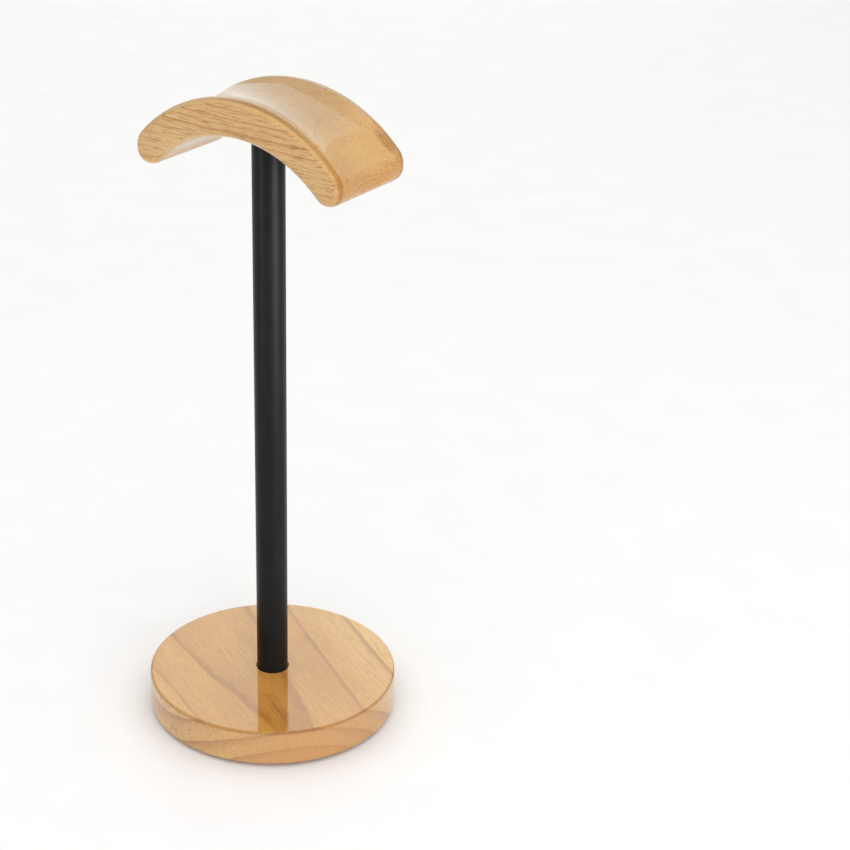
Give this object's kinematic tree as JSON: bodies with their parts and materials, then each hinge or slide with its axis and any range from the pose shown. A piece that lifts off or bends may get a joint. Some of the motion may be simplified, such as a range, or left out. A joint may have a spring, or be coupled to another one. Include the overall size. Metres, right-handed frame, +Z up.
{
  "type": "headphone stand",
  "caption": "Free-standing headphone stand: a round wooden base, a slim black steel post and an arched, dished wooden saddle that a headband rests on.",
  "frame": {"origin": "on the surface that the stand stands on, under the middle of the round base, on the post's axis", "axes": "+Z up along the post, +X along the saddle's arch from end to end, +Y along the saddle's depth; front and back are alike"},
  "size_m": [0.12, 0.12, 0.31],
  "materials": {
    "base_wood": "clear gloss lacquer over pale ash or oak",
    "saddle_wood": "clear gloss lacquer over pale ash or oak",
    "black_steel": "satin black powder coat",
    "zinc_steel": "bright zinc plate",
    "brass": "machined",
    "rubber": "matte"
  },
  "bodies": {
    "root": {"base_disc": "base_wood", "foot_pad_1": "rubber", "foot_pad_2": "rubber", "foot_pad_3": "rubber", "foot_pad_4": "rubber", "base_bolt": "zinc_steel", "base_washer": "zinc_steel", "spring_washer": "zinc_steel", "support_tube": "black_steel", "lower_tube_plug": "zinc_steel", "upper_tube_plug": "zinc_steel", "saddle_stud": "zinc_steel", "saddle_insert": "brass", "saddle": "saddle_wood"}
  },
  "joints": []
}
